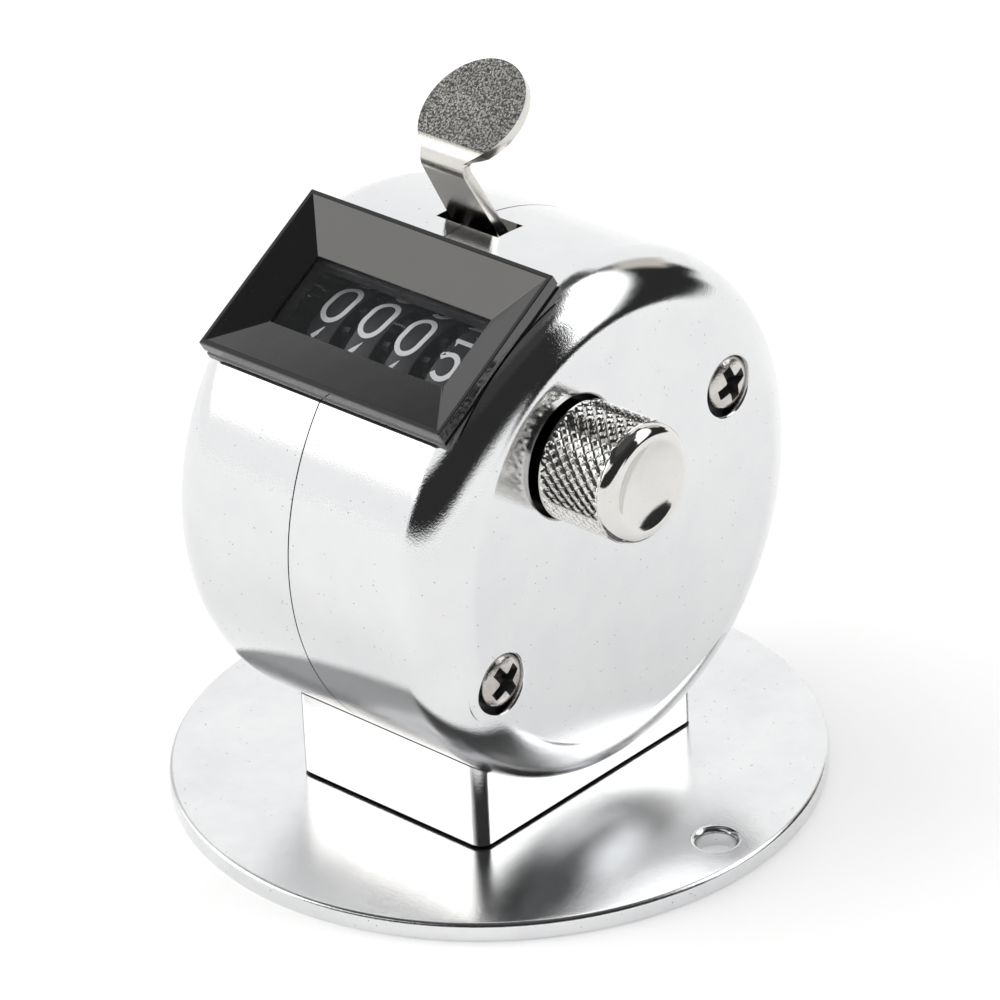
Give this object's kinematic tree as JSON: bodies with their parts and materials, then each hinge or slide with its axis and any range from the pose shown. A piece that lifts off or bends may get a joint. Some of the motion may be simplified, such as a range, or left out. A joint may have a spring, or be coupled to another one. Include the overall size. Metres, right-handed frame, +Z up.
{
  "type": "hand tally counter",
  "caption": "Desk-mounted tally counter: chromed drum case on a round base, framed number window, thumb lever on top and knurled reset knob on the side.",
  "frame": {"origin": "centre of the round base plate, on the surface the counter stands on", "axes": "+Z up, the number window faces -Y, the reset knob points along +X"},
  "size_m": [0.06, 0.06, 0.0677],
  "materials": {
    "chrome": "bright polished plating",
    "nickel": "bright nickel plating",
    "steel": "plain steel",
    "brass": "turned brass",
    "bezel_black": "gloss black moulding",
    "wheel_black": "satin black moulding",
    "window_clear": "clear acrylic sheet"
  },
  "bodies": {
    "case": {"base_plate": "chrome", "mounting_block": "chrome", "left_case_shell": "chrome", "right_case_shell": "chrome", "case_screw_upper": "nickel", "case_screw_lower": "nickel", "base_screw_front": "steel", "base_screw_rear": "steel", "block_screw_left": "steel", "block_screw_right": "steel", "left_frame_plate": "steel", "right_frame_plate": "steel", "frame_spacer_rear": "steel", "frame_spacer_lower": "steel", "frame_spacer_front": "steel", "foot_bar": "steel", "pinion_shaft": "steel", "backstop_spring": "steel", "lever_return_spring": "steel", "left_axle_bush": "brass", "right_axle_bush": "brass", "window_bezel": "bezel_black", "knob_washer": "wheel_black", "window_lens": "window_clear"},
    "lever": {"thumb_lever": "nickel", "lever_shaft": "steel", "pawl_arm": "steel", "pawl_pin": "steel"},
    "pawl": {"drive_pawl": "steel"},
    "reset_shaft": {"number_shaft": "steel", "reset_knob": "nickel", "shaft_collar": "brass"},
    "units": {"units_wheel": "wheel_black", "ratchet_wheel": "steel"},
    "tens": {"tens_wheel": "wheel_black"},
    "hundreds": {"hundreds_wheel": "wheel_black"},
    "thousands": {"thousands_wheel": "wheel_black"},
    "tens_pinion": {"tens_transfer_pinion": "brass"},
    "hundreds_pinion": {"hundreds_transfer_pinion": "brass"},
    "thousands_pinion": {"thousands_transfer_pinion": "brass"}
  },
  "joints": [
    {"name": "lever_press", "type": "hinge", "parent": "case", "child": "lever", "pos_m": [0, -0.0037, 0.0504], "axis": [-1, 0, 0], "range_deg": [0, 20], "stiffness_Nm_per_rad": 0.04, "springref_deg": -17.19, "deforming": ["lever_return_spring"]},
    {"name": "pawl_swing", "type": "hinge", "parent": "lever", "child": "pawl", "pos_m": [0, 0.006, 0.047], "axis": [1, 0, 0], "range_deg": [0, 40]},
    {"name": "reset_turn", "type": "hinge", "parent": "case", "child": "reset_shaft", "pos_m": [0, -0.00665, 0.03975], "axis": [1, 0, 0], "continuous": true},
    {"name": "units_turn", "type": "hinge", "parent": "case", "child": "units", "pos_m": [0, -0.00665, 0.03975], "axis": [1, 0, 0], "continuous": true},
    {"name": "tens_turn", "type": "hinge", "parent": "case", "child": "tens", "pos_m": [0, -0.00665, 0.03975], "axis": [1, 0, 0], "continuous": true},
    {"name": "hundreds_turn", "type": "hinge", "parent": "case", "child": "hundreds", "pos_m": [0, -0.00665, 0.03975], "axis": [1, 0, 0], "continuous": true},
    {"name": "thousands_turn", "type": "hinge", "parent": "case", "child": "thousands", "pos_m": [0, -0.00665, 0.03975], "axis": [1, 0, 0], "continuous": true},
    {"name": "tens_pinion_turn", "type": "hinge", "parent": "case", "child": "tens_pinion", "pos_m": [0, -0.0014, 0.03066], "axis": [1, 0, 0], "continuous": true},
    {"name": "hundreds_pinion_turn", "type": "hinge", "parent": "case", "child": "hundreds_pinion", "pos_m": [0, -0.0014, 0.03066], "axis": [1, 0, 0], "continuous": true},
    {"name": "thousands_pinion_turn", "type": "hinge", "parent": "case", "child": "thousands_pinion", "pos_m": [0, -0.0014, 0.03066], "axis": [1, 0, 0], "continuous": true}
  ],
  "couplings": [
    {"joint": "pawl_swing", "follows": "lever_press", "ratio": 1.8},
    {"joint": "tens_turn", "follows": "units_turn", "ratio": 0.1},
    {"joint": "hundreds_turn", "follows": "units_turn", "ratio": 0.01},
    {"joint": "thousands_turn", "follows": "units_turn", "ratio": 0.001},
    {"joint": "tens_pinion_turn", "follows": "units_turn", "ratio": -0.25},
    {"joint": "hundreds_pinion_turn", "follows": "units_turn", "ratio": -0.025},
    {"joint": "thousands_pinion_turn", "follows": "units_turn", "ratio": -0.0025}
  ]
}
